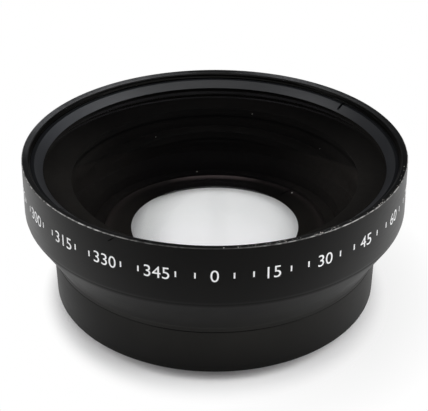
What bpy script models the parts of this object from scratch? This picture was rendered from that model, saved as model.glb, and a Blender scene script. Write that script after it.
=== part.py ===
"""Wide-angle conversion lens made of two sections that screw together.

The wide section is the broad rim with its negative front element. The macro section below it is a
close-up lens with a rear filter thread. Sizes are in metres. +Z is the optical axis, pointing to the
scene, and the rear thread stands on z = 0 with the axis through x = y = 0.
"""
import math

import bmesh
import bpy
from mathutils import Matrix, Vector

MM = 0.001
SEGMENTS = 72                        # flats around every turned piece
ARC_STEPS = 5                        # rings that make up each curved lens face
FILLET_STEPS = 3
SHARP_ANGLE = math.radians(25)       # corners steeper than this stay crisp

# Fits and small edges
CLEARANCE = 0.3 * MM                 # gap between pieces that touch or screw together
EDGE_BREAK = 0.3 * MM                # chamfer on turned outer corners

# Macro section, from the rear thread up
REAR_THREAD_RADIUS = 29.0 * MM       # 58 mm male filter thread
REAR_THREAD_LENGTH = 2.6 * MM
REAR_THREAD_WALL = 2.0 * MM
RELIEF_WIDTH = 0.5 * MM              # run-out groove between the thread and its shoulder
RELIEF_DEPTH = 0.6 * MM
RELIEF_UNDERCUT = 0.3 * MM           # how far the groove bites into the shoulder
SHOULDER_WIDTH = 3.6 * MM            # flat rear face from the thread out to the outer wall
MACRO_HEIGHT = 9.0 * MM
JOINT_WALL = 2.1 * MM                # wall around the female thread that takes the wide section
JOINT_THREAD_LENGTH = 3.0 * MM

# Macro element and its retaining ring
MACRO_RING_STEP = 5.25 * MM          # joint thread to retaining ring
MACRO_GLASS_STEP = 1.5 * MM          # retaining ring to glass
MACRO_GLASS_CURVE = 80.0 * MM        # convex front face; the rear face is flat
MACRO_GLASS_EDGE = 1.5 * MM
MACRO_SEAT_WIDTH = 2.0 * MM          # how far the rear ledge reaches in under the glass
MACRO_SEAT_THICKNESS = 0.9 * MM
MACRO_SEAT_SETBACK = 0.4 * MM        # rear face of the ledge above the tip of the thread
MACRO_RING_LAND = 0.7 * MM           # flat top of the ring outside its bevel
MACRO_RING_BEVEL_WIDTH = 4.7 * MM
MACRO_RING_BEVEL_DEPTH = 1.95 * MM
MACRO_RING_LIP = 0.5 * MM            # straight inner edge under the bevel

# Wide section, from the waist up
WAIST_HEIGHT = 1.0 * MM
WAIST_FILLET = 1.2 * MM              # blend from the waist into the cone
CONE_HEIGHT = 8.4 * MM
RIM_HEIGHT = 11.3 * MM
FRONT_THREAD_RADIUS = 36.0 * MM      # 72 mm female filter thread
RIM_WALL = 1.5 * MM
SPIGOT_WALL = 2.6 * MM

# Front element and its retaining ring
FRONT_RING_SETBACK = 1.35 * MM       # ring top below the rim's top face
FRONT_RING_LAND = 0.75 * MM
FRONT_RING_BEVEL_WIDTH = 1.65 * MM
FRONT_RING_BEVEL_DEPTH = 1.3 * MM
FRONT_RING_LIP = 0.35 * MM
FRONT_GLASS_OVERLAP = 0.9 * MM       # how far the ring's lip reaches in over the glass
FRONT_GLASS_CURVE = 2000.0 * MM      # front face, very slightly convex
REAR_HOLLOW_CURVE = 100.0 * MM       # concave rear face
FRONT_GLASS_CENTRE = 3.0 * MM        # thickness on the axis
FRONT_FLANGE_WIDTH = 6.2 * MM        # flat rear face around the hollow
FRONT_SEAT_WIDTH = 4.5 * MM          # ledge of the barrel under that flange

# Spanner slots in both retaining rings
SLOT_WIDTH = 0.6 * MM
SLOT_DEPTH = 0.95 * MM
SLOT_AZIMUTH = math.radians(38.5)
SLOTS_PER_RING = 2

# Finishes: base colour, roughness, metallic
BLACK_ANODISED = ((0.020, 0.020, 0.019, 1.0), 0.38, 0.55)
RING_ANODISED = ((0.045, 0.045, 0.046, 1.0), 0.42, 0.55)
COATED_GLASS = ((0.30, 0.31, 0.33, 1.0), 0.03, 0.0)


def sagitta(radius, curve):
    """Height lost between the vertex of a sphere of radius curve and a circle of the given radius."""
    return curve - math.sqrt(curve * curve - radius * radius)


# Radii that follow from the two filter threads
RING_RADIUS = REAR_THREAD_RADIUS + SHOULDER_WIDTH    # macro section and waist
JOINT_THREAD_RADIUS = RING_RADIUS - JOINT_WALL
SPIGOT_RADIUS = JOINT_THREAD_RADIUS - CLEARANCE
MACRO_RING_RADIUS = JOINT_THREAD_RADIUS - MACRO_RING_STEP
MACRO_RING_BORE = MACRO_RING_RADIUS - MACRO_RING_LAND - MACRO_RING_BEVEL_WIDTH
MACRO_GLASS_RADIUS = MACRO_RING_RADIUS - MACRO_GLASS_STEP
RIM_RADIUS = FRONT_THREAD_RADIUS + RIM_WALL
FRONT_RING_RADIUS = FRONT_THREAD_RADIUS - CLEARANCE
FRONT_RING_BORE = FRONT_RING_RADIUS - FRONT_RING_LAND - FRONT_RING_BEVEL_WIDTH
FRONT_GLASS_RADIUS = FRONT_RING_BORE + FRONT_GLASS_OVERLAP
REAR_HOLLOW_RADIUS = FRONT_GLASS_RADIUS - FRONT_FLANGE_WIDTH

# Heights of the main faces, from the bottom up
MACRO_SHOULDER_Z = REAR_THREAD_LENGTH
MACRO_TOP_Z = MACRO_SHOULDER_Z + MACRO_HEIGHT
WAIST_FOOT_Z = MACRO_TOP_Z + CLEARANCE
CONE_FOOT_Z = MACRO_TOP_Z + WAIST_HEIGHT
CONE_HEAD_Z = CONE_FOOT_Z + CONE_HEIGHT
RIM_TOP_Z = CONE_HEAD_Z + RIM_HEIGHT

SPIGOT_TIP_Z = WAIST_FOOT_Z - JOINT_THREAD_LENGTH - CLEARANCE
COUNTERBORE_Z = SPIGOT_TIP_Z - 2 * CLEARANCE

FRONT_RING_TOP_Z = RIM_TOP_Z - FRONT_RING_SETBACK
FRONT_RING_FOOT_Z = FRONT_RING_TOP_Z - FRONT_RING_BEVEL_DEPTH - FRONT_RING_LIP
FRONT_VERTEX_Z = FRONT_RING_FOOT_Z - CLEARANCE + sagitta(FRONT_RING_BORE, FRONT_GLASS_CURVE)
HOLLOW_VERTEX_Z = FRONT_VERTEX_Z - FRONT_GLASS_CENTRE
FRONT_FLANGE_Z = HOLLOW_VERTEX_Z - sagitta(REAR_HOLLOW_RADIUS, REAR_HOLLOW_CURVE)
FRONT_SEAT_Z = FRONT_FLANGE_Z - CLEARANCE

MACRO_SEAT_Z = MACRO_SEAT_SETBACK + MACRO_SEAT_THICKNESS
MACRO_GLASS_REAR_Z = MACRO_SEAT_Z + CLEARANCE
MACRO_VERTEX_Z = MACRO_GLASS_REAR_Z + MACRO_GLASS_EDGE + sagitta(MACRO_GLASS_RADIUS, MACRO_GLASS_CURVE)
MACRO_RING_FOOT_Z = MACRO_VERTEX_Z - sagitta(MACRO_RING_BORE, MACRO_GLASS_CURVE) + CLEARANCE
MACRO_RING_TOP_Z = MACRO_RING_FOOT_Z + MACRO_RING_LIP + MACRO_RING_BEVEL_DEPTH


def clear_scene():
    """Remove every object, so that the model starts from nothing."""
    for old in list(bpy.data.objects):
        bpy.data.objects.remove(old, do_unlink=True)


def finish(name, look):
    """Principled material with a base colour, roughness and metallic value."""
    colour, roughness, metallic = look
    material = bpy.data.materials.new(name)
    material.use_nodes = True
    shader = material.node_tree.nodes["Principled BSDF"]
    shader.inputs["Base Color"].default_value = colour
    shader.inputs["Roughness"].default_value = roughness
    shader.inputs["Metallic"].default_value = metallic
    return material


def lens_face(curve, vertex_z, rim_radius):
    """Points of a spherical face from the axis out to rim_radius, its vertex at the top."""
    radii = [rim_radius * step / ARC_STEPS for step in range(ARC_STEPS + 1)]
    return [(radius, vertex_z - sagitta(radius, curve)) for radius in radii]


def rounded(before, corner, after, radius):
    """Points of an arc that takes the place of a corner of an outline."""
    corner = Vector(corner)
    back = (Vector(before) - corner).normalized()
    ahead = (Vector(after) - corner).normalized()
    half = back.angle(ahead) / 2
    centre = corner + (back + ahead).normalized() * radius / math.sin(half)
    spoke = corner + back * radius / math.tan(half) - centre
    sweep = math.copysign(math.pi - 2 * half, ahead.cross(back))
    turns = [Matrix.Rotation(sweep * step / FILLET_STEPS, 2) for step in range(FILLET_STEPS + 1)]
    return [tuple(centre + turn @ spoke) for turn in turns]


def turned(name, outline, look):
    """Solid of revolution about +Z from (radius, height) points that go once round its section."""
    shape = bmesh.new()
    corners = [shape.verts.new((radius, 0.0, height)) for radius, height in outline]
    on_axis = outline[0][0] == 0.0
    pairs = list(zip(corners, corners[1:]))
    if not on_axis:
        pairs.append((corners[-1], corners[0]))
    edges = [shape.edges.new(pair) for pair in pairs]
    bmesh.ops.spin(
        shape, geom=corners + edges, cent=(0, 0, 0), axis=(0, 0, 1), angle=math.tau, steps=SEGMENTS,
        use_merge=True,
    )
    bmesh.ops.remove_doubles(shape, verts=shape.verts, dist=0.001 * MM)
    bmesh.ops.recalc_face_normals(shape, faces=shape.faces)
    mesh = bpy.data.meshes.new(name)
    shape.to_mesh(mesh)
    shape.free()
    mesh.shade_smooth()
    mesh.set_sharp_from_angle(angle=SHARP_ANGLE)
    mesh.materials.append(finish(name + "_finish", look))
    piece = bpy.data.objects.new(name, mesh)
    bpy.context.collection.objects.link(piece)
    return piece


def cut_spanner_slots(ring, bore, radius, top_z):
    """Two narrow slots across the ring's top, opposite each other, for a pin spanner."""
    reach = radius - bore
    cutter_mesh = bpy.data.meshes.new(ring.name + "_slots")
    shape = bmesh.new()
    for index in range(SLOTS_PER_RING):
        azimuth = SLOT_AZIMUTH + math.tau * index / SLOTS_PER_RING
        turn = Matrix.Rotation(azimuth, 4, "Z")
        # the box starts inside the bore, runs out past the ring, and stands above it
        place = Matrix.Translation(((bore + radius) / 2, 0, top_z))
        size = Matrix.Diagonal((2 * reach, SLOT_WIDTH, 2 * SLOT_DEPTH, 1))
        bmesh.ops.create_cube(shape, size=1.0, matrix=turn @ place @ size)
    shape.to_mesh(cutter_mesh)
    shape.free()
    cutter = bpy.data.objects.new(ring.name + "_slots", cutter_mesh)
    bpy.context.collection.objects.link(cutter)
    cutter.hide_render = True
    cutter.display_type = "WIRE"
    cut = ring.modifiers.new("spanner_slots", "BOOLEAN")
    cut.operation = "DIFFERENCE"
    cut.object = cutter


def retaining_ring_outline(radius, land, bevel_width, bevel_depth, lip, foot_z):
    """Section of a threaded ring with a flat land, a bevel down to its bore, and a straight lip."""
    bore = radius - land - bevel_width
    top_z = foot_z + lip + bevel_depth
    return [
        (bore, foot_z),
        (radius, foot_z),
        (radius, top_z),
        (radius - land, top_z),
        (bore, foot_z + lip),
    ]


def macro_barrel():
    """Rear ring: female thread in front, seat for the macro element, male filter thread behind."""
    bore = REAR_THREAD_RADIUS - REAR_THREAD_WALL
    relief = REAR_THREAD_RADIUS - RELIEF_DEPTH
    glass_pocket = MACRO_GLASS_RADIUS + CLEARANCE
    ring_bore = MACRO_RING_RADIUS + CLEARANCE
    seat_bore = MACRO_GLASS_RADIUS - MACRO_SEAT_WIDTH
    ring_step_z = MACRO_RING_FOOT_Z - CLEARANCE
    outline = [
        (JOINT_THREAD_RADIUS, MACRO_TOP_Z),
        (JOINT_THREAD_RADIUS, COUNTERBORE_Z),
        (ring_bore, COUNTERBORE_Z),
        (ring_bore, ring_step_z),
        (glass_pocket, ring_step_z),
        (glass_pocket, MACRO_SEAT_Z),
        (seat_bore, MACRO_SEAT_Z),
        (seat_bore, MACRO_SEAT_SETBACK),
        (bore, MACRO_SEAT_SETBACK),
        (bore, 0.0),
        (REAR_THREAD_RADIUS - EDGE_BREAK, 0.0),
        (REAR_THREAD_RADIUS, EDGE_BREAK),
        (REAR_THREAD_RADIUS, MACRO_SHOULDER_Z - RELIEF_WIDTH),
        (relief, MACRO_SHOULDER_Z - RELIEF_WIDTH),
        (relief, MACRO_SHOULDER_Z + RELIEF_UNDERCUT),
        (REAR_THREAD_RADIUS + CLEARANCE, MACRO_SHOULDER_Z),
        (RING_RADIUS - EDGE_BREAK, MACRO_SHOULDER_Z),
        (RING_RADIUS, MACRO_SHOULDER_Z + EDGE_BREAK),
        (RING_RADIUS, MACRO_TOP_Z - EDGE_BREAK),
        (RING_RADIUS - EDGE_BREAK, MACRO_TOP_Z),
    ]
    return turned("macro_barrel", outline, BLACK_ANODISED)


def macro_element():
    """Positive close-up lens with a convex front and a flat rear."""
    outline = lens_face(MACRO_GLASS_CURVE, MACRO_VERTEX_Z, MACRO_GLASS_RADIUS)
    outline += [(MACRO_GLASS_RADIUS, MACRO_GLASS_REAR_Z), (0.0, MACRO_GLASS_REAR_Z)]
    return turned("macro_element", outline, COATED_GLASS)


def macro_retaining_ring():
    """Ring that holds the macro element down, screwed in from the front."""
    outline = retaining_ring_outline(
        MACRO_RING_RADIUS, MACRO_RING_LAND, MACRO_RING_BEVEL_WIDTH, MACRO_RING_BEVEL_DEPTH,
        MACRO_RING_LIP, MACRO_RING_FOOT_Z,
    )
    ring = turned("macro_retaining_ring", outline, BLACK_ANODISED)
    cut_spanner_slots(ring, MACRO_RING_BORE, MACRO_RING_RADIUS, MACRO_RING_TOP_Z)
    return ring


def front_barrel():
    """One turned shell: broad rim, cone down to the waist, glass seat, and the rear spigot."""
    glass_pocket = FRONT_GLASS_RADIUS + CLEARANCE
    seat_bore = FRONT_GLASS_RADIUS - FRONT_SEAT_WIDTH
    spigot_bore = SPIGOT_RADIUS - SPIGOT_WALL
    ring_step_z = FRONT_RING_FOOT_Z - CLEARANCE
    waist_foot = (RING_RADIUS, WAIST_FOOT_Z + EDGE_BREAK)
    cone_head = (RIM_RADIUS, CONE_HEAD_Z)
    outline = [
        (FRONT_THREAD_RADIUS + EDGE_BREAK, RIM_TOP_Z),
        (FRONT_THREAD_RADIUS, RIM_TOP_Z - EDGE_BREAK),
        (FRONT_THREAD_RADIUS, ring_step_z),
        (glass_pocket, ring_step_z),
        (glass_pocket, FRONT_SEAT_Z),
        (seat_bore, FRONT_SEAT_Z),
        (spigot_bore, WAIST_FOOT_Z),
        (spigot_bore, SPIGOT_TIP_Z),
        (SPIGOT_RADIUS - EDGE_BREAK, SPIGOT_TIP_Z),
        (SPIGOT_RADIUS, SPIGOT_TIP_Z + EDGE_BREAK),
        (SPIGOT_RADIUS, WAIST_FOOT_Z),
        (RING_RADIUS - EDGE_BREAK, WAIST_FOOT_Z),
        waist_foot,
        *rounded(waist_foot, (RING_RADIUS, CONE_FOOT_Z), cone_head, WAIST_FILLET),
        cone_head,
        (RIM_RADIUS, RIM_TOP_Z - EDGE_BREAK),
        (RIM_RADIUS - EDGE_BREAK, RIM_TOP_Z),
    ]
    return turned("front_barrel", outline, BLACK_ANODISED)


def front_element():
    """Large negative lens: all but flat in front, hollowed behind, with a flat rear flange."""
    outline = lens_face(FRONT_GLASS_CURVE, FRONT_VERTEX_Z, FRONT_GLASS_RADIUS)
    outline.append((FRONT_GLASS_RADIUS, FRONT_FLANGE_Z))
    outline += reversed(lens_face(REAR_HOLLOW_CURVE, HOLLOW_VERTEX_Z, REAR_HOLLOW_RADIUS))
    return turned("front_element", outline, COATED_GLASS)


def front_retaining_ring():
    """Bevelled ring that holds the front element, screwed into the front filter thread."""
    outline = retaining_ring_outline(
        FRONT_RING_RADIUS, FRONT_RING_LAND, FRONT_RING_BEVEL_WIDTH, FRONT_RING_BEVEL_DEPTH,
        FRONT_RING_LIP, FRONT_RING_FOOT_Z,
    )
    ring = turned("front_retaining_ring", outline, RING_ANODISED)
    cut_spanner_slots(ring, FRONT_RING_BORE, FRONT_RING_RADIUS, FRONT_RING_TOP_Z)
    return ring


def main():
    clear_scene()
    macro_barrel()
    macro_element()
    macro_retaining_ring()
    front_barrel()
    front_element()
    front_retaining_ring()


main()
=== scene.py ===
"""Looks of the wide-angle conversion lens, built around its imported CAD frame.

Sections are (radius, height) points in millimetres in the CAD frame. Meshes are in metres.
"""
import math
import random

import bmesh
import bpy
import numpy as np
from mathutils import Matrix, Vector


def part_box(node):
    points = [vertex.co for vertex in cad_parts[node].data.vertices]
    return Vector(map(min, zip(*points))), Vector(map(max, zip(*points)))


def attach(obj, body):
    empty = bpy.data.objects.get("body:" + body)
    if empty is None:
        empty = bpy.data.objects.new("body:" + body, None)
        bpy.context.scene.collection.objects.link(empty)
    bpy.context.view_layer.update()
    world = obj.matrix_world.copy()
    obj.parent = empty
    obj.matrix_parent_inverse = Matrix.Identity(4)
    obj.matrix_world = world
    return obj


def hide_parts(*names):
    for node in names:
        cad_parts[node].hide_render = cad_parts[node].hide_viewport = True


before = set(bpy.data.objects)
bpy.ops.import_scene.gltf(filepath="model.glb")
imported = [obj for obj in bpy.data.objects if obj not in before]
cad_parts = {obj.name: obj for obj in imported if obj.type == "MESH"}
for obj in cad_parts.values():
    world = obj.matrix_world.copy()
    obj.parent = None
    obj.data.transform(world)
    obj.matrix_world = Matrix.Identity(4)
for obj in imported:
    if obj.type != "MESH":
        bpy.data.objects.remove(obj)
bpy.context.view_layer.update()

MM = 0.001

# How finely the pieces are drawn
SEGMENTS = 288                       # around each turned piece
ROWS_PER_PITCH = 12                  # along each turn of a thread
LENS_RINGS = 28                      # from a lens's axis to its edge
CORNER_STEPS = 3                     # on each rounded corner
CORNER_REACH = 0.45                  # the share of a side that its corner's rounding may take
SHARP = 30                           # edges over this angle, in degrees, are shaded as sharp
SAME = 1e-4                          # lengths closer than this are the same


def reach_of(node):
    """A CAD node's outer radius, foot and top in mm."""
    low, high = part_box(node)
    return tuple(round(end / MM, 4) for end in (high[0], low[2], high[2]))


# The CAD's nodes: outer radius, foot, top
RIM_RADIUS, SPIGOT_TIP, RIM_TOP = reach_of("front_barrel")
FRONT_RING, FRONT_RING_FOOT, FRONT_RING_TOP = reach_of("front_retaining_ring")
FRONT_GLASS, FLANGE, FRONT_VERTEX = reach_of("front_element")
RING_RADIUS, REST, MACRO_TOP = reach_of("macro_barrel")
MACRO_RING, MACRO_RING_FOOT, MACRO_RING_TOP = reach_of("macro_retaining_ring")
MACRO_GLASS, MACRO_REAR, MACRO_VERTEX = reach_of("macro_element")

# Sizes inside those nodes, which repeat the CAD's
GAP = 0.3                            # clearance between pieces
CHAMFER = 0.3
REAR_THREAD = RING_RADIUS - 3.6      # 58 mm male filter thread
REAR_BORE = REAR_THREAD - 2.0
SHOULDER = REST + 2.6
RELIEF_WIDTH, RELIEF_DEPTH, RELIEF_UNDERCUT = 0.5, 0.6, 0.3
SEAT_SETBACK = 0.4
COUNTERBORE = SPIGOT_TIP - 2 * GAP
SPIGOT = RING_RADIUS - 2.1 - GAP
SPIGOT_BORE = SPIGOT - 2.6
WAIST_FOOT = MACRO_TOP + GAP
WAIST_FILLET = 1.2
CONE_FOOT = MACRO_TOP + 1.0
CONE_HEAD = CONE_FOOT + 8.4
FRONT_THREAD = RIM_RADIUS - 1.5      # 72 mm female filter thread
FRONT_STEP = FRONT_RING_FOOT - GAP
FRONT_BORE = FRONT_RING - 2.4
MACRO_BORE = MACRO_RING - 5.4
FRONT_SEAT_WIDTH = 4.5
HOLLOW = FRONT_GLASS - 6.2
HOLLOW_VERTEX = FRONT_VERTEX - 3.0
FRONT_CURVE, HOLLOW_CURVE, MACRO_CURVE = 2000.0, 100.0, 80.0
SLOT_WIDTH, SLOT_DEPTH, SLOT_AZIMUTHS = 0.6, 0.95, (38.5, 218.5)

# Threads, which the CAD leaves out
PITCH = 0.75
THREAD_DEPTH = 0.42
THREAD_FLAT = 0.12                   # the flat share of each crest and root

# Rim
PAINT = 0.01                         # how far the rim wall lies behind the printed marks
RIM_TAPER = 0.40                     # the wall is this much narrower at its top than at its foot
RIM_BREAK = 0.15                     # its outer corner, scuffed pale, with a painted highlight
LAND = RIM_TOP - 0.05                # the flat of its top, which leaves room for dust
LAND_SETBACK = 0.62                  # from the front thread to the flat of the rim's top
LEAD_WIDTH, LEAD_DEPTH = 0.12, 0.4   # lead-in of the front thread
CREASE = 2.6                         # rounding between the rim wall and the cone

# Where the scene's pieces differ from the CAD's
SEAM_TOP = MACRO_TOP + 0.03          # the joint's upper face
SEAM_BREAK = 0.07                    # the chamfers on both sides of it
SEAT_GAP = 0.03                      # under the front glass
POCKET_GAP = 0.06                    # around the macro ring
SPIGOT_REACH = 0.45                  # how much deeper the spigot goes
MACRO_SEAT = MACRO_GLASS - 1.05      # the ledge under the rear glass
SHOULDER_BREAK = 0.1
FRONT_RING_DROP = 0.28               # how far the front ring's top is lower
MACRO_BORE_LESS = 0.4                # how far the macro ring reaches in past its CAD bore

# Printed scale and scratch on the rim wall
SCALE_DROP = 5.3                     # from the rim's top to the middle of the scale
DIGIT_HEIGHT = 2.3
FONT_DIGIT = 0.71                    # height of a digit in the built-in font at size 1
TICK_WIDTH, TICK_HEIGHT = 0.28, 1.1
TICK_STEP, NUMBER_STEP = 5, 15       # degrees between marks, and between numbers
PRINT_PROUD, PRINT_DEPTH = 0.008, 0.014
SCRATCH_START, SCRATCH_END = (-118.6, 1.45), (-116.6, 0.45)    # azimuth, drop from the top
SCRATCH_WIDTH, SCRATCH_PROUD, SCRATCH_STEPS = 0.13, 0.005, 8

# Dust
FLECK_SIDES = 7
FLECK_HEIGHT = 0.07                  # the tallest that a fleck gets
GLASS_DUST = ((-3.38, -5.78, 0.22), (14.18, -13.73, 0.2), (-12.0, 9.0, 0.12), (8.0, 20.0, 0.1),
              (21.0, 4.0, 0.1))      # x, y and size of each fleck
RIM_DUST = [-87.7, -84.1, -79.5, -75.8, -74.0, -71.5]    # azimuths of the larger flecks
LARGE, SMALL, ASIDE = (0.22, 0.3), (0.1, 0.24), (0.1, 0.22)      # spans of their sizes
FRONT_FLECKS, FRONT_SPREAD, FRONT_RADII = 36, (-88, -34, -62), (36.5, 36.85)
SIDE_FLECKS, SIDE_SPREAD, SIDE_RADII = 16, (-40, -12), (36.45, 36.85)


def sagitta(radius, curve):
    """Height lost between a sphere's vertex and a circle of the given radius on it."""
    return curve - math.sqrt(curve * curve - radius * radius)


def wall_radius(height):
    """The rim wall's radius, which grows a little towards its foot."""
    return RIM_RADIUS - PAINT - RIM_TAPER * (height - CONE_HEAD) / (RIM_TOP - CONE_HEAD)


# ---- mesh makers

def softened(corners):
    """Section whose corners are rounded: each corner is (radius, height, rounding)."""
    points = []
    for index, (radius, height, rounding) in enumerate(corners):
        if not rounding:
            points.append((radius, height))
            continue
        here = Vector((radius, height))
        back = Vector(corners[index - 1][:2]) - here
        ahead = Vector(corners[(index + 1) % len(corners)][:2]) - here
        half = back.angle(ahead) / 2
        reach = min(rounding / math.tan(half), min(back.length, ahead.length) * CORNER_REACH)
        rounding = reach * math.tan(half)
        back.normalize()
        ahead.normalize()
        centre = here + (back + ahead).normalized() * rounding / math.sin(half)
        spoke = here + back * reach - centre
        sweep = math.copysign(math.pi - 2 * half, ahead.cross(back))
        for step in range(CORNER_STEPS + 1):
            points.append(tuple(centre + Matrix.Rotation(sweep * step / CORNER_STEPS, 2) @ spoke))
    return points


def thread_wave(phase):
    """0 on the crest of a male thread, 1 at its root, with narrow flats on both."""
    ramp = np.abs(2 * (phase - np.floor(phase)) - 1)
    return np.clip((ramp - THREAD_FLAT) / (1 - 2 * THREAD_FLAT), 0, 1)


def thread_rows(wall, low, high, angles):
    """Rows of a thread cut into a straight wall. It fades in and out over half a pitch."""
    rows = []
    for level in np.linspace(low, high, round((high - low) / PITCH * ROWS_PER_PITCH) + 1):
        fade = np.clip(min(level - low, high - level) / (0.5 * PITCH), 0, 1)
        cut = THREAD_DEPTH * fade * thread_wave(level / PITCH - angles / math.tau)
        rows.append((wall - cut, level))
    return rows


def with_threads(section, threads, angles):
    """Rows of radii and a height, with turns on the straight walls (radius, low, high)."""
    rows = []
    for (radius, height), (after_radius, after_height) in zip(section, section[1:] + section[:1]):
        rows.append((np.full(SEGMENTS, radius), height))
        foot, head = sorted((height, after_height))
        for wall, low, high in threads:
            on_wall = max(abs(radius - wall), abs(after_radius - wall)) < SAME
            if not on_wall or foot > low + SAME or head < high - SAME:
                continue
            turns = [row for row in thread_rows(wall, low, high, angles)
                     if min(row[1] - foot, head - row[1]) >= SAME]
            rows += turns if after_height > height else turns[::-1]
    return rows


def add_piece(name, verts, faces, material, sharp=SHARP):
    mesh = bpy.data.meshes.new(name)
    mesh.from_pydata([tuple(v) for v in verts], [], faces)
    mesh.validate()
    mesh.shade_smooth()
    mesh.set_sharp_from_angle(angle=math.radians(sharp))
    mesh.materials.append(material)
    piece = bpy.data.objects.new(name, mesh)
    bpy.context.scene.collection.objects.link(piece)
    return piece


def face_outwards(piece, plate=0.0):
    """Turns a mesh's faces outwards. Thin sheets first become closed plates, plate mm thick."""
    shape = bmesh.new()
    shape.from_mesh(piece.data)
    if plate:
        bmesh.ops.solidify(shape, geom=shape.faces[:], thickness=plate * MM)
    bmesh.ops.recalc_face_normals(shape, faces=shape.faces)
    shape.to_mesh(piece.data)
    shape.free()


def turned(name, section, material, threads=(), sharp=SHARP):
    """Closed solid of revolution about +Z, or one that starts and ends on the axis."""
    on_axis = section[0][0] == 0.0
    angles = np.arange(SEGMENTS) * math.tau / SEGMENTS
    rows = with_threads(section[1:-1] if on_axis else section, threads, angles)
    verts = []
    for radii, height in rows:
        verts += zip(radii * np.cos(angles) * MM, radii * np.sin(angles) * MM,
                     [height * MM] * SEGMENTS)
    faces = []
    count = len(rows)
    sides = [(i, (i + 1) % SEGMENTS) for i in range(SEGMENTS)]
    for row in range(count - 1 if on_axis else count):
        a, b = row * SEGMENTS, (row + 1) % count * SEGMENTS
        faces += [(a + i, b + i, b + j, a + j) for i, j in sides]
    if on_axis:
        first, last = len(verts), len(verts) + 1
        end = (count - 1) * SEGMENTS
        verts += [(0, 0, section[0][1] * MM), (0, 0, section[-1][1] * MM)]
        for i, j in sides:
            faces += [(first, i, j), (last, end + j, end + i)]
    piece = add_piece(name, verts, faces, material, sharp)
    face_outwards(piece)
    return piece


def cut_slots(ring, bore, radius, top):
    """Two spanner slots, as in the CAD."""
    shape = bmesh.new()
    place = Matrix.Translation(((bore + radius) / 2 * MM, 0, top * MM))
    size = Matrix.Diagonal((2 * (radius - bore) * MM, SLOT_WIDTH * MM, 2 * SLOT_DEPTH * MM, 1))
    for azimuth in SLOT_AZIMUTHS:
        turn = Matrix.Rotation(math.radians(azimuth), 4, "Z")
        bmesh.ops.create_cube(shape, size=1.0, matrix=turn @ place @ size)
    mesh = bpy.data.meshes.new("slot_cutter")
    shape.to_mesh(mesh)
    shape.free()
    cutter = bpy.data.objects.new("slot_cutter", mesh)
    bpy.context.scene.collection.objects.link(cutter)
    cut = ring.modifiers.new("slots", "BOOLEAN")
    cut.operation = "DIFFERENCE"
    cut.object = cutter
    depsgraph = bpy.context.evaluated_depsgraph_get()
    done = bpy.data.meshes.new_from_object(ring.evaluated_get(depsgraph))
    ring.modifiers.clear()
    ring.data = done
    ring.data.set_sharp_from_angle(angle=math.radians(SHARP))
    bpy.data.objects.remove(cutter)


# ---- shader nodes

NOISE_SPAN = (0.3, 0.7)              # where most of a noise node's values lie
UNIT = (0.0, 1.0)
REAR_SPAN = (-0.1, 0.7)              # sines of the azimuth over which painted shade darkens a bore to the back


def new_material(name):
    material = bpy.data.materials.new(name)
    material.use_nodes = True
    tree = material.node_tree
    return material, tree, tree.nodes["Principled BSDF"]


def link(tree, source, target):
    tree.links.new(source, target)


def set_inputs(node, values):
    for key, value in values.items():
        node.inputs[key].default_value = value


def math_node(tree, operation, *values):
    node = tree.nodes.new("ShaderNodeMath")
    node.operation = operation
    for socket, value in zip(node.inputs, values):
        if isinstance(value, (int, float)):
            socket.default_value = value
        else:
            link(tree, value, socket)
    return node.outputs[0]


def product(tree, first, *others):
    for other in others:
        first = math_node(tree, "MULTIPLY", first, other)
    return first


def vector_node(tree, operation, *values):
    node = tree.nodes.new("ShaderNodeVectorMath")
    node.operation = operation
    for socket, value in zip(node.inputs, values):
        if isinstance(value, tuple):
            socket.default_value = value
        else:
            link(tree, value, socket)
    return node


def scaled(tree, colour, scale):
    node = vector_node(tree, "SCALE", colour)
    if isinstance(scale, float):
        node.inputs["Scale"].default_value = scale
    else:
        link(tree, scale, node.inputs["Scale"])
    return node.outputs[0]


def place_of(tree):
    """A point's place, in metres from the CAD frame's origin."""
    return tree.nodes.new("ShaderNodeTexCoord").outputs["Object"]


def split(tree, vector):
    """A vector's outputs by axis."""
    node = tree.nodes.new("ShaderNodeSeparateXYZ")
    link(tree, vector, node.inputs[0])
    return node.outputs


def levelled(tree, place):
    """A place with its height left out."""
    return vector_node(tree, "MULTIPLY", place, (1, 1, 0)).outputs[0]


def length(tree, vector):
    return vector_node(tree, "LENGTH", vector).outputs["Value"]


def heading(tree, place):
    """The cosine and sine of a place's azimuth, as X and Y."""
    return split(tree, vector_node(tree, "NORMALIZE", levelled(tree, place)).outputs[0])


def noise(tree, vector, scale, detail=2.0, rough=0.5):
    node = tree.nodes.new("ShaderNodeTexNoise")
    set_inputs(node, {"Scale": scale, "Detail": detail, "Roughness": rough})
    link(tree, vector, node.inputs["Vector"])
    return node.outputs["Fac"]


def remap(tree, value, span, to, curve="LINEAR"):
    """Takes a value from one span of numbers to another, and holds it at both ends."""
    node = tree.nodes.new("ShaderNodeMapRange")
    node.interpolation_type = curve
    set_inputs(node, dict(zip(("From Min", "From Max", "To Min", "To Max"), (*span, *to))))
    link(tree, value, node.inputs["Value"])
    return node.outputs["Result"]


def mixed(tree, share, first, second):
    node = tree.nodes.new("ShaderNodeMix")
    node.data_type = "RGBA"
    link(tree, share, node.inputs[0])
    for socket, colour in ((node.inputs[6], first), (node.inputs[7], second)):
        if isinstance(colour, tuple):
            socket.default_value = (*colour, 1.0)
        else:
            link(tree, colour, socket)
    return node.outputs[2]


def times(colour, factor):
    return tuple(min(1.0, part * factor) for part in colour)


def uneven(tree, value, colour, change):
    """A colour that a noise value makes darker or brighter by the share called change."""
    share = remap(tree, value, NOISE_SPAN, UNIT)
    return mixed(tree, share, times(colour, 1 - change), times(colour, 1 + change))


def towards_back(tree, place, span, to):
    """A value that follows the sine of the azimuth."""
    return remap(tree, heading(tree, place)["Y"], span, to)


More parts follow.
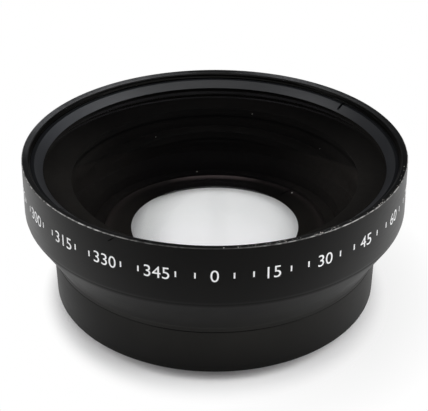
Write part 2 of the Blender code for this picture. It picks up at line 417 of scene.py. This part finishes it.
def fading(tree, place, colour, rear, span=REAR_SPAN):
    """A linked colour with painted shade at the back of the bore, where it keeps only the share
    called rear of itself.
    """
    if rear == 1.0:
        return colour
    return mixed(tree, towards_back(tree, place, span, UNIT), colour, scaled(tree, colour, rear))


def base_colour(material):
    """A material's node tree, the socket of its colour, and what is linked to it."""
    tree = material.node_tree
    socket = tree.nodes["Principled BSDF"].inputs["Base Color"]
    return tree, socket, socket.links[0].from_socket


# ---- materials

BODY_BLACK = (0.0028, 0.0027, 0.0024)
BLOTCHES, FINE_GRAIN, TURNING_MARKS, MATTE_GRAIN, FILM = 90.0, 5200.0, 9.0, 800.0, 60.0
DRIFT = 1.2                          # how fast the turning marks change around a piece
MARK_DEPTH = 0.02                    # in mm
SHINE_SPREAD = 0.03                  # how far blotches and marks each move the roughness


def turning(tree, place):
    """Coordinates for turning marks: distance along a section, and a slow change around it."""
    along = math_node(tree, "ADD", split(tree, place)["Z"], length(tree, levelled(tree, place)))
    around = heading(tree, place)
    join = tree.nodes.new("ShaderNodeCombineXYZ")
    link(tree, product(tree, along, 1 / MM), join.inputs["X"])
    link(tree, product(tree, around["X"], DRIFT), join.inputs["Y"])
    link(tree, product(tree, around["Y"], DRIFT), join.inputs["Z"])
    return join.outputs[0]


def anodised(name, colour, roughness, tint, lines=0.12, grooved=0.0, level=0.5):
    """Black anodised aluminium with turning marks; grooved spreads its gloss across them."""
    material, tree, shader = new_material(name)
    place = place_of(tree)
    set_inputs(shader, {
        "Metallic": 0.0, "IOR": 1.5, "Specular IOR Level": level,
        "Specular Tint": (tint, tint, tint, 1.0),
        "Anisotropic": grooved, "Anisotropic Rotation": 0.25,
    })
    around = tree.nodes.new("ShaderNodeTangent")
    around.direction_type = "RADIAL"
    around.axis = "Z"
    link(tree, around.outputs[0], shader.inputs["Tangent"])
    broad = noise(tree, place, BLOTCHES, 3.0)
    grain = noise(tree, place, FINE_GRAIN)
    marks = noise(tree, turning(tree, place), TURNING_MARKS, 3.0, 0.6)
    link(tree, uneven(tree, broad, colour, 0.14), shader.inputs["Base Color"])
    dull = remap(tree, broad, NOISE_SPAN, (roughness - SHINE_SPREAD, roughness + SHINE_SPREAD))
    uneven_dull = remap(tree, marks, NOISE_SPAN, (-SHINE_SPREAD, SHINE_SPREAD))
    link(tree, math_node(tree, "ADD", dull, uneven_dull), shader.inputs["Roughness"])
    bump = tree.nodes.new("ShaderNodeBump")
    set_inputs(bump, {"Strength": lines, "Distance": MARK_DEPTH * MM})
    height = math_node(tree, "ADD", product(tree, marks, 0.7), product(tree, grain, 0.3))
    link(tree, height, bump.inputs["Height"])
    link(tree, bump.outputs["Normal"], shader.inputs["Normal"])
    return material


def soft_corner(material, corner, width, colour, rear):
    """Paints shade into a ring's colour towards the back, where its outer corner carries a painted
    highlight, a soft paler line.
    """
    tree, socket, ground = base_colour(material)
    place = place_of(tree)
    past = math_node(tree, "SUBTRACT", length(tree, levelled(tree, place)), corner * MM)
    line = remap(tree, math_node(tree, "ABSOLUTE", past), (0.0, width * MM), (1.0, 0.0))
    line = product(tree, line, towards_back(tree, place, (0.86, 0.98), (0.15, 1.0)))
    link(tree, mixed(tree, line, fading(tree, place, ground, rear), colour), socket)


def brighter_aside(material):
    """Paints light and shade into a ring's colour around it: darker at the back, brighter towards
    its left.
    """
    tree, socket, colour = base_colour(material)
    around = heading(tree, place_of(tree))
    aside = remap(tree, math_node(tree, "ABSOLUTE", around["X"]), (0.0, 0.45), (0.55, 1.05))
    left = product(tree, remap(tree, around["X"], (-0.9, -0.45), (1.15, 0.0)),
                   remap(tree, around["Y"], (0.05, 0.32), (0.15, 1.0)))
    scale = product(tree, aside, math_node(tree, "ADD", left, 1.0))
    link(tree, scaled(tree, colour, scale), socket)


def graded(material, axis, span, to):
    """Paints light and shade into a material's colour: scales it along an axis, from one factor to
    another over a span in mm.
    """
    tree, socket, colour = base_colour(material)
    scale = remap(tree, split(tree, place_of(tree))[axis], [end * MM for end in span], to)
    link(tree, scaled(tree, colour, scale), socket)


def coated_glass(name, tint, through):
    """Polished lens glass with an anti-reflection coat. Lamps shine through it unbent."""
    material, tree, shader = new_material(name)
    film = remap(tree, noise(tree, place_of(tree), FILM, 3.0), NOISE_SPAN, UNIT)
    link(tree, mixed(tree, film, tint, times(tint, 1.01)), shader.inputs["Base Color"])
    set_inputs(shader, {
        "Transmission Weight": 1.0, "Roughness": 0.0, "IOR": 1.517, "Specular IOR Level": 0.06,
        "Specular Tint": (0.70, 0.58, 0.75, 1.0),
    })
    clear = tree.nodes.new("ShaderNodeBsdfTransparent")
    clear.inputs["Color"].default_value = (*through, 1.0)
    path = tree.nodes.new("ShaderNodeLightPath")
    blend = tree.nodes.new("ShaderNodeMixShader")
    lamplight = math_node(tree, "MAXIMUM", path.outputs["Is Shadow Ray"],
                          path.outputs["Is Diffuse Ray"])
    link(tree, lamplight, blend.inputs[0])
    link(tree, shader.outputs[0], blend.inputs[1])
    link(tree, clear.outputs[0], blend.inputs[2])
    link(tree, blend.outputs[0], tree.nodes["Material Output"].inputs["Surface"])
    return material


def matte(name, colour, roughness, change=0.1, shine=0.3, rear=1.0, span=REAR_SPAN):
    material, tree, shader = new_material(name)
    place = place_of(tree)
    tint = uneven(tree, noise(tree, place, MATTE_GRAIN, 3.0), colour, change)
    link(tree, fading(tree, place, tint, rear, span), shader.inputs["Base Color"])
    set_inputs(shader, {"Roughness": roughness, "Specular IOR Level": shine})
    return material


def worn(name, dark, bright, front, right, least):
    """Metal that has lost some of its black, mixed with a painted highlight in the same pale
    colour, least in the middle of the front and back.

    front and right are the shares of wear and painted highlight at the front and the far right,
    and least is the share where the noise is lowest.
    """
    material, tree, shader = new_material(name)
    place = place_of(tree)
    across = split(tree, place)["X"]
    share = product(
        tree,
        remap(tree, noise(tree, place, 60.0), (0.36, 0.56), (least, 1.0)),
        remap(tree, noise(tree, place, 900.0, 3.0, 0.6), (0.38, 0.60), (least, 1.0)),
        remap(tree, math_node(tree, "ABSOLUTE", across), (0.003, 0.016), (0.05, 1.0)),
        towards_back(tree, place, (-0.2, 0.2), (front, 1.0)),
        remap(tree, across, (0.020, 0.034), (1.0, right)),
    )
    link(tree, mixed(tree, share, dark, bright), shader.inputs["Base Color"])
    set_inputs(shader, {"Roughness": 0.45, "Specular IOR Level": 0.25})
    return material


# A grade's span is in mm along the axis, and its two factors hold beyond the span's ends.
black = anodised("black_anodised_satin", BODY_BLACK, roughness=0.38, tint=0.13)
macro_black = anodised("black_anodised_macro", (0.0068, 0.0066, 0.0061), roughness=0.48,
                       tint=0.22, level=0.132)
# Painted shade on the macro barrel towards its foot and its left, and painted light towards its top
graded(macro_black, "Z", (3.0, 11.0), (0.55, 2.4))
graded(macro_black, "X", (-28.0, -12.0), (0.4, 1.0))
# Painted shadow in the joint's chamfers, nearly black at the front only; elsewhere they are a plain
# dark
seam_shade = matte("seam_shade", (0.0130, 0.0126, 0.0117), roughness=0.6, shine=0.1)
graded(seam_shade, "Y", (-31.8, -28.5), (0.02, 1.0))
cone_black = anodised("black_anodised_cone", BODY_BLACK, roughness=0.43, tint=0.4, level=0.083)
# Painted light on the cone, brighter towards its foot and towards the right
graded(cone_black, "Z", (CONE_FOOT, 18.0), (2.8, 1.0))
graded(cone_black, "X", (0.0, 15.0), (1.0, 1.6))
# Painted highlight on the rim's top, palest at its back left and right, mixed with some real wear
top_black = worn("black_anodised_top", (0.003, 0.003, 0.003), (0.092, 0.094, 0.099),
                 front=0.08, right=0.12, least=0.7)
# Painted highlight on the rim's outer corner, pale to its left and right and dim in the middle,
# mixed with real wear
rubbed_and_highlit = worn("scuffed_highlit_edge", (0.004, 0.004, 0.004), (0.42, 0.415, 0.405),
              front=1.0, right=1.0, least=0.12)
ring_grey = anodised("ring_anodised_turned", (0.021, 0.022, 0.0245), roughness=0.5, tint=0.9,
                     lines=0.25, grooved=0.6)
# Painted shade at the back of the front ring's band, and painted light towards its left
brighter_aside(ring_grey)
ring_land = anodised("ring_anodised_land", (0.0110, 0.0116, 0.0130), roughness=0.45, tint=0.05,
                     lines=0.2, level=0.3)
ring_black = anodised("ring_anodised_inner", (0.0125, 0.0112, 0.0098), roughness=0.40, tint=0.5,
                      lines=0.2, level=0.04)
# Painted highlight along the inner ring's outer corner at the back, and painted shade towards the
# back
soft_corner(ring_black, corner=MACRO_RING - 0.7, width=1.6, colour=(0.078, 0.061, 0.061),
            rear=0.22)
# Painted shade in the lining, darker to the back, to the left and lower down, and painted light
# near its top under the glass's flange
lining = matte("flat_black_lining", (0.0195, 0.0174, 0.0155), roughness=0.85, change=0.2,
               shine=0.01, rear=0.15, span=(0.2, 0.85))
graded(lining, "X", (-18.0, 16.0), (0.58, 1.0))
graded(lining, "Z", (15.0, 18.0), (0.85, 1.0))
graded(lining, "Z", (19.5, 22.0), (1.0, 2.6))
# Painted shade on the glass's blackened edge towards the back, and painted light towards the top of
# its wall
edge_paint = matte("lens_edge_paint", (0.0165, 0.0153, 0.0140), roughness=0.85, shine=0.02,
                   rear=0.17)
graded(edge_paint, "Z", (23.0, 27.0), (1.0, 1.7))
glass = coated_glass("lens_glass", tint=(0.99, 0.99, 0.995), through=(0.985, 0.985, 0.99))
white = matte("white_print", (0.90, 0.90, 0.91), roughness=0.55, change=0.03)
dust = matte("dust_fleck", (0.62, 0.60, 0.57), roughness=0.9, change=0.2)
scratch_dark = matte("scratch_dark", (0.002, 0.002, 0.002), roughness=0.9, change=0.2, shine=0.0)


# ---- pieces

def finish_faces(piece, material, chosen):
    """Gives the faces whose centre (radius, height) in mm is chosen a material of their own."""
    piece.data.materials.append(material)
    index = len(piece.data.materials) - 1
    for face in piece.data.polygons:
        x, y, z = face.center
        if chosen(math.hypot(x, y) / MM, z / MM):
            face.material_index = index


def wide_barrel():
    corner = wall_radius(LAND)
    tip = SPIGOT_TIP - SPIGOT_REACH
    pocket = FRONT_GLASS + GAP
    ledge = FLANGE - SEAT_GAP
    corners = [
        (FRONT_THREAD + LAND_SETBACK, LAND, 0.0),
        (FRONT_THREAD + LEAD_WIDTH, LAND - 0.04, 0.03),
        (FRONT_THREAD, LAND - LEAD_DEPTH, 0.0),
        (FRONT_THREAD, FRONT_STEP, 0.0),
        (pocket, FRONT_STEP, 0.1),
        (pocket, ledge, 0.1),
        (FRONT_GLASS - FRONT_SEAT_WIDTH, ledge, 0.1),
        (SPIGOT_BORE, WAIST_FOOT, 0.4),
        (SPIGOT_BORE, tip, 0.1),
        (SPIGOT - CHAMFER, tip, 0.05),
        (SPIGOT, tip + CHAMFER, 0.0),
        (SPIGOT, SEAM_TOP, 0.0),
        (RING_RADIUS - SEAM_BREAK, SEAM_TOP, 0.03),
        (RING_RADIUS, SEAM_TOP + SEAM_BREAK, 0.05),
        (RING_RADIUS, CONE_FOOT, WAIST_FILLET),
        (wall_radius(CONE_HEAD), CONE_HEAD, CREASE),
        (corner, LAND - RIM_BREAK, 0.05),
        (corner - RIM_BREAK, LAND, 0.05),
    ]
    threads = ((FRONT_THREAD, FRONT_STEP + 0.2, LAND - LEAD_DEPTH),
               (SPIGOT, tip + CHAMFER, SEAM_TOP - 0.1))
    piece = turned("wide_barrel", softened(corners), black, threads)
    # Bore and spigot tip, then the pocket of the glass
    finish_faces(piece, lining, lambda r, z: (
        r < SPIGOT - 0.35 and z > tip - 0.1
        or r < pocket + 0.1 and CONE_HEAD < z < FRONT_STEP + 0.05))
    # The rim's top with the thread's lead-in
    finish_faces(piece, top_black, lambda r, z: (
        z > LAND - 0.05 or r < FRONT_THREAD + 0.3 and z > LAND - LEAD_DEPTH - 0.02))
    finish_faces(piece, rubbed_and_highlit, lambda r, z: r > corner - RIM_BREAK and z > LAND - RIM_BREAK)
    finish_faces(piece, macro_black, lambda r, z: r > SPIGOT + 0.5 and z < CONE_FOOT)
    finish_faces(piece, seam_shade, lambda r, z: (
        r > RING_RADIUS - 0.1 and z < SEAM_TOP + SEAM_BREAK + 0.01))
    # The cone with the lower part of its crease
    finish_faces(piece, cone_black, lambda r, z: (
        r > RING_RADIUS and CONE_FOOT < z < CONE_HEAD + 0.35))
    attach(piece, "wide_housing")
    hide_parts("front_barrel")


def retaining_ring(name, body, node, material, radius, bore, top, foot, land, lip, under,
                   land_material=None):
    """Ring with a bevel from its flat land down to its bore; under bevels its hidden foot."""
    edge = radius - land
    corners = [
        (bore, foot + under, 0.0), (bore + under, foot, 0.04), (radius, foot, 0.05),
        (radius, top, 0.06), (edge, top, 0.08), (bore, foot + lip, 0.06),
    ]
    piece = turned(name, softened(corners), material)
    cut_slots(piece, bore, radius, top)
    if land_material:
        finish_faces(piece, land_material, lambda r, z: r > edge + 0.02)
    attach(piece, body)
    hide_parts(node)


def dome(curve, vertex, rim):
    """Points of a spherical face from the axis out to its rim."""
    radii = [rim * step / LENS_RINGS for step in range(LENS_RINGS + 1)]
    return [(radius, vertex - sagitta(radius, curve)) for radius in radii]


def lens(name, section, body, node):
    piece = turned(name, section, glass, sharp=8)
    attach(piece, body)
    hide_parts(node)
    return piece


def front_lens():
    section = dome(FRONT_CURVE, FRONT_VERTEX, FRONT_GLASS)
    section += [(FRONT_GLASS, FLANGE)]
    section += reversed(dome(HOLLOW_CURVE, HOLLOW_VERTEX, HOLLOW))
    piece = lens("wide_glass_element", section, "wide_glass", "front_element")
    # Edge wall and flange
    finish_faces(piece, edge_paint, lambda r, z: (
        r > FRONT_GLASS - 0.1 and z < FRONT_STEP - 0.1 or r > HOLLOW and z < FLANGE + 0.1))


def macro_lens():
    section = dome(MACRO_CURVE, MACRO_VERTEX, MACRO_GLASS)
    section += [(MACRO_GLASS, MACRO_REAR), (0.0, MACRO_REAR)]
    piece = lens("macro_glass_element", section, "macro_section", "macro_element")
    finish_faces(piece, edge_paint, lambda r, z: r > MACRO_GLASS - 0.1)


def macro_housing():
    step = MACRO_RING_FOOT - GAP
    ledge = MACRO_REAR - GAP
    joint = SPIGOT + GAP
    corners = [
        (joint, MACRO_TOP, 0.05),
        (joint, COUNTERBORE, 0.0),
        (MACRO_RING + POCKET_GAP, COUNTERBORE, 0.1),
        (MACRO_RING + POCKET_GAP, step, 0.0),
        (MACRO_GLASS + GAP, step, 0.1),
        (MACRO_GLASS + GAP, ledge, 0.0),
        (MACRO_SEAT, ledge, 0.1),
        (MACRO_SEAT, REST + SEAT_SETBACK, 0.1),
        (REAR_BORE, REST + SEAT_SETBACK, 0.0),
        (REAR_BORE, REST, 0.08),
        (REAR_THREAD - CHAMFER, REST, 0.05),
        (REAR_THREAD, REST + CHAMFER, 0.0),
        (REAR_THREAD, SHOULDER - RELIEF_WIDTH, 0.0),
        (REAR_THREAD - RELIEF_DEPTH, SHOULDER - RELIEF_WIDTH, 0.0),
        (REAR_THREAD - RELIEF_DEPTH, SHOULDER + RELIEF_UNDERCUT, 0.05),
        (REAR_THREAD + RELIEF_UNDERCUT, SHOULDER, 0.05),
        (RING_RADIUS - SHOULDER_BREAK, SHOULDER, 0.0),
        (RING_RADIUS, SHOULDER + SHOULDER_BREAK, 0.0),
        (RING_RADIUS, MACRO_TOP - SEAM_BREAK, 0.05),
        (RING_RADIUS - SEAM_BREAK, MACRO_TOP, 0.03),
    ]
    threads = ((REAR_THREAD, REST + CHAMFER, SHOULDER - RELIEF_WIDTH),)
    piece = turned("macro_barrel_shell", softened(corners), macro_black, threads)
    # Everything inside, then the joint's mouth
    finish_faces(piece, lining, lambda r, z: (
        r < MACRO_RING + 0.75 and z > 0.9 or r < joint - 0.5 and z > COUNTERBORE - 0.1))
    finish_faces(piece, seam_shade, lambda r, z: (
        r > RING_RADIUS - 0.1 and z > MACRO_TOP - SEAM_BREAK - 0.01))
    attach(piece, "macro_section")
    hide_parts("macro_barrel")


def on_wall(angle, height, proud):
    """A point proud of the rim wall by the given mm."""
    radius = wall_radius(height) + proud
    return radius * math.cos(angle) * MM, radius * math.sin(angle) * MM, height * MM


def bent_text(body, azimuth, height, verts, faces):
    """A number set flat, scaled to size, and laid round the rim wall."""
    curve = bpy.data.curves.new("number", "FONT")
    curve.body = body
    curve.align_x = "CENTER"
    curve.resolution_u = 6
    holder = bpy.data.objects.new("number", curve)
    bpy.context.scene.collection.objects.link(holder)
    bpy.context.view_layer.update()
    depsgraph = bpy.context.evaluated_depsgraph_get()
    flat = bpy.data.meshes.new_from_object(holder.evaluated_get(depsgraph))
    scale = DIGIT_HEIGHT / FONT_DIGIT
    base = len(verts)
    for x, y, _ in [v.co for v in flat.vertices]:
        verts.append(on_wall(azimuth + x * scale / RIM_RADIUS,
                             height + y * scale - DIGIT_HEIGHT / 2, PRINT_PROUD))
    faces += [tuple(base + i for i in face.vertices) for face in flat.polygons]
    bpy.data.objects.remove(holder)


def dial_marks():
    """Plain generic scale around the rim: numbers, with ticks between them."""
    middle = RIM_TOP - SCALE_DROP
    across, up = TICK_WIDTH / 2 / RIM_RADIUS, TICK_HEIGHT / 2
    verts, faces = [], []
    for degrees in range(0, 360, TICK_STEP):
        azimuth = math.radians(degrees - 90)
        if degrees % NUMBER_STEP == 0:
            bent_text(str(degrees), azimuth, middle, verts, faces)
            continue
        base = len(verts)
        for side, rise in ((-across, -up), (across, -up), (across, up), (-across, up)):
            verts.append(on_wall(azimuth + side, middle + rise, PRINT_PROUD))
        faces.append((base, base + 1, base + 2, base + 3))
    piece = add_piece("rim_scale_print", verts, faces, white)
    face_outwards(piece, PRINT_DEPTH)
    piece.data.shade_flat()
    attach(piece, "wide_housing")


def rim_scratch():
    """Short dark scratch on the rim wall, thinner at its ends."""
    verts = []
    for step in range(SCRATCH_STEPS + 1):
        share = step / SCRATCH_STEPS
        azimuth, drop = (start + (end - start) * share
                         for start, end in zip(SCRATCH_START, SCRATCH_END))
        width = SCRATCH_WIDTH * math.sin(math.pi * min(max(share, 0.04), 0.96)) ** 0.5
        for side in (-width, width):
            verts.append(on_wall(math.radians(azimuth), RIM_TOP - drop + side, SCRATCH_PROUD))
    faces = [(a, a + 2, a + 3, a + 1) for a in range(0, 2 * SCRATCH_STEPS, 2)]
    piece = add_piece("rim_scratch_mark", verts, faces, scratch_dark)
    face_outwards(piece, PRINT_DEPTH)
    piece.data.shade_flat()
    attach(piece, "wide_housing")


def flecks(name, spots, body, seed):
    """Small irregular flakes of dust lying at the given (x, y, z, size) places."""
    chance = random.Random(seed)
    verts, faces = [], []
    for x, y, z, size in spots:
        base = len(verts)
        top = base + FLECK_SIDES
        for level, grow in ((0.0, 1.0), (min(0.35 * size, FLECK_HEIGHT), 0.6)):
            for side in range(FLECK_SIDES):
                angle = math.tau * side / FLECK_SIDES
                reach = size / 2 * grow * chance.uniform(0.6, 1.15)
                verts.append(((x + reach * math.cos(angle)) * MM,
                              (y + reach * math.sin(angle)) * MM, (z + level) * MM))
        for side in range(FLECK_SIDES):
            after = (side + 1) % FLECK_SIDES
            faces.append((base + side, base + after, top + after, top + side))
        faces.append(tuple(top + side for side in range(FLECK_SIDES)))
        faces.append(tuple(base + side for side in reversed(range(FLECK_SIDES))))
    piece = add_piece(name, verts, faces, dust)
    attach(piece, body)


def on_land(azimuth, radius, size):
    """A place for a fleck on the rim's top."""
    angle = math.radians(azimuth)
    return radius * math.cos(angle), radius * math.sin(angle), LAND - 0.025, size


def dust_pieces():
    """Flecks on the front glass, and more on the rim's top from its front round to the right."""
    spots = []
    for x, y, size in GLASS_DUST:
        surface = FRONT_VERTEX - sagitta(math.hypot(x, y), FRONT_CURVE)
        spots.append((x, y, surface + 0.005, size))
    flecks("glass_dust", spots, "wide_glass", 3)
    chance = random.Random(11)
    azimuths = RIM_DUST + [chance.triangular(*FRONT_SPREAD) for _ in range(FRONT_FLECKS)]
    spots = []
    for place, azimuth in enumerate(azimuths):
        radius = chance.uniform(*FRONT_RADII)
        sizes = LARGE if place < len(RIM_DUST) else SMALL
        spots.append(on_land(azimuth, radius, chance.uniform(*sizes)))
    chance = random.Random(12)
    for _ in range(SIDE_FLECKS):
        azimuth = chance.uniform(*SIDE_SPREAD)
        radius = chance.uniform(*SIDE_RADII)
        spots.append(on_land(azimuth, radius, chance.uniform(*ASIDE)))
    flecks("rim_dust", spots, "wide_housing", 5)


wide_barrel()
retaining_ring("wide_retaining_ring", "wide_housing", "front_retaining_ring", ring_grey,
               radius=FRONT_RING, bore=FRONT_BORE, top=FRONT_RING_TOP - FRONT_RING_DROP,
               foot=FRONT_RING_FOOT, land=0.9, lip=0.1, under=0.05, land_material=ring_land)
front_lens()
macro_housing()
macro_lens()
retaining_ring("macro_inner_ring", "macro_section", "macro_retaining_ring", ring_black,
               radius=MACRO_RING, bore=MACRO_BORE - MACRO_BORE_LESS, top=MACRO_RING_TOP,
               foot=MACRO_RING_FOOT, land=0.7, lip=1.4, under=1.2)
dial_marks()
rim_scratch()
dust_pieces()


# ---- stage, light, camera: places in metres

WHITE_FROM, WHITE_AT = 0.0308, 0.0362    # the lit floor turns plain white between these radii
# The lit floor's grey, and its painted shadow seen at the disc's left edge
FLOOR_GREY, EDGE_SHADOW_GREY = (0.93, 0.93, 0.93), (0.58, 0.58, 0.59)
DISC_MIDDLE = (0.0024, 0.0020)           # where the floor seen through the glass is brightest
STREAK = 0.0008                          # x of a streak of painted shade across it
LIFT_TINT = (1.0, 0.975, 1.01, 1)

FLOOR_RINGS, FLOOR_SEGMENTS = (0.02, 0.2, 0.8), 96
SWEEP, SWEEP_STEPS = 0.1, 8              # radius of the bend up into the wall

LAMP_DISTANCE, LAMP_SIZE, LAMP_AIM = 0.75, 0.55, 0.02
LAMPS = (                                # azimuth and elevation in degrees, power in watts
    ("left_softbox", 190, 34, 2.8),
    ("right_softbox", -12, 38, 3.4),
    ("front_softbox", -80, 55, 1.7),
    ("top_softbox", -90, 84, 1.0),
)
SKY_GLOW = 0.01                          # what the white sky adds to the lamps' light

CAMERA_PLACE, CAMERA_DIP = (0.0, -0.1674, 0.1178), 30.72
CAMERA_LENS, CAMERA_SENSOR, CAMERA_SHIFT = 81.17, 36.0, -0.00168


def lit_floor(tree, shader, axes, radius):
    """Pale grey, darker in a painted shadow that shows only at the left edge of the glass's disc.
    """
    set_inputs(shader, {"Roughness": 1.0, "Specular IOR Level": 0.0})
    painted_shadow = product(tree, remap(tree, axes["X"], (-0.0190, -0.0165), (1.0, 0.0)),
                    remap(tree, radius, (0.022, 0.025), (1.0, 0.0)))
    link(tree, mixed(tree, painted_shadow, FLOOR_GREY, EDGE_SHADOW_GREY), shader.inputs["Base Color"])


def disc_lift(tree, axes, flat, seen):
    """Painted light: a glow on the floor under the glass, most at DISC_MIDDLE and towards the
    front.
    """
    lift = tree.nodes.new("ShaderNodeEmission")
    lift.inputs["Color"].default_value = LIFT_TINT
    forward = remap(tree, axes["Y"], (-0.006, 0.010), (1.15, 0.96))
    shorter = vector_node(tree, "MULTIPLY", flat, (1, 0.7, 0)).outputs[0]
    middle = (-DISC_MIDDLE[0], -DISC_MIDDLE[1], 0)
    from_middle = length(tree, vector_node(tree, "ADD", shorter, middle).outputs[0])
    from_streak = math_node(tree, "ABSOLUTE", math_node(tree, "SUBTRACT", axes["X"], STREAK))
    strength = product(tree, seen, forward, remap(tree, from_streak, (0.0016, 0.0026), (0.89, 1.0)),
                       remap(tree, from_middle, (0.0118, 0.0190), (0.38, 0.06)))
    link(tree, strength, lift.inputs["Strength"])
    return lift


def white_floor(tree, axes, radius):
    """Plain white, with a little painted shade just right of the object's foot."""
    glow = tree.nodes.new("ShaderNodeEmission")
    dim = product(tree, remap(tree, axes["X"], (0.0, 0.03), UNIT),
                  remap(tree, radius, (0.036, 0.050), (0.12, 0.0)))
    link(tree, math_node(tree, "SUBTRACT", 1.0, dim), glow.inputs["Strength"])
    return glow


def floor_material():
    """Lit near the object, plain white further off and in what glass and metal show."""
    material, tree, shader = new_material("pale_floor")
    place = place_of(tree)
    axes, flat = split(tree, place), levelled(tree, place)
    radius = length(tree, flat)
    path = tree.nodes.new("ShaderNodeLightPath").outputs
    seen = math_node(tree, "MAXIMUM", path["Is Glossy Ray"], path["Is Transmission Ray"])
    seen = math_node(tree, "MAXIMUM", path["Is Camera Ray"], seen)
    lit_floor(tree, shader, axes, radius)
    lit = tree.nodes.new("ShaderNodeAddShader")
    link(tree, shader.outputs[0], lit.inputs[0])
    link(tree, disc_lift(tree, axes, flat, seen).outputs[0], lit.inputs[1])
    nearer = length(tree, vector_node(tree, "MULTIPLY", flat, (1, 0.93, 0)).outputs[0])
    far = remap(tree, nearer, (WHITE_FROM, WHITE_AT), UNIT, "SMOOTHSTEP")
    blend = tree.nodes.new("ShaderNodeMixShader")
    link(tree, product(tree, far, seen), blend.inputs[0])
    link(tree, lit.outputs[0], blend.inputs[1])
    link(tree, white_floor(tree, axes, radius).outputs[0], blend.inputs[2])
    link(tree, blend.outputs[0], tree.nodes["Material Output"].inputs["Surface"])
    return material


def stage():
    """Round floor that sweeps up into a low pale wall all around."""
    section = [(radius, 0.0) for radius in FLOOR_RINGS]
    for step in range(1, SWEEP_STEPS + 1):
        angle = math.pi / 2 * step / SWEEP_STEPS
        section.append((FLOOR_RINGS[-1] + SWEEP * math.sin(angle),
                        SWEEP - SWEEP * math.cos(angle)))
    angles = [math.tau * i / FLOOR_SEGMENTS for i in range(FLOOR_SEGMENTS)]
    sides = [(i, (i + 1) % FLOOR_SEGMENTS) for i in range(FLOOR_SEGMENTS)]
    verts = [(0, 0, 0)]
    for radius, height in section:
        verts += [(radius * math.cos(angle), radius * math.sin(angle), height) for angle in angles]
    faces = [(0, 1 + i, 1 + j) for i, j in sides]
    for row in range(len(section) - 1):
        a, b = 1 + row * FLOOR_SEGMENTS, 1 + (row + 1) * FLOOR_SEGMENTS
        faces += [(a + i, b + i, b + j, a + j) for i, j in sides]
    floor = add_piece("pale_floor", verts, faces, floor_material(), sharp=60)


def softbox(name, azimuth, elevation, power):
    """Square lamp that faces the object."""
    data = bpy.data.lights.new(name, "AREA")
    data.size = LAMP_SIZE
    data.energy = power
    turn, tilt = math.radians(azimuth), math.radians(elevation)
    away = Vector((math.cos(tilt) * math.cos(turn), math.cos(tilt) * math.sin(turn),
                   math.sin(tilt))) * LAMP_DISTANCE
    lamp = bpy.data.objects.new(name, data)
    lamp.location = away + Vector((0, 0, LAMP_AIM))
    lamp.rotation_euler = (-away).to_track_quat("-Z", "Y").to_euler()
    bpy.context.scene.collection.objects.link(lamp)


def lights():
    """Four softboxes, and a sky that is white to the camera and faint to everything else."""
    for lamp in LAMPS:
        softbox(*lamp)
    world = bpy.data.worlds.new("studio")
    bpy.context.scene.world = world
    world.use_nodes = True
    tree = world.node_tree
    sky = tree.nodes["Background"]
    sky.inputs["Color"].default_value = (1, 1, 1, 1)
    path = tree.nodes.new("ShaderNodeLightPath")
    strength = remap(tree, path.outputs["Is Camera Ray"], UNIT, (SKY_GLOW, 1.0))
    link(tree, strength, sky.inputs["Strength"])


def camera():
    data = bpy.data.cameras.new("photo_camera")
    data.sensor_fit = "HORIZONTAL"
    data.sensor_width = CAMERA_SENSOR
    data.lens = CAMERA_LENS
    data.shift_x = CAMERA_SHIFT
    eye = bpy.data.objects.new("photo_camera", data)
    eye.location = CAMERA_PLACE
    eye.rotation_euler = (math.radians(90 - CAMERA_DIP), 0.0, 0.0)
    bpy.context.scene.collection.objects.link(eye)
    bpy.context.scene.camera = eye


stage()
lights()
camera()
bpy.context.scene.view_settings.view_transform = "Standard"
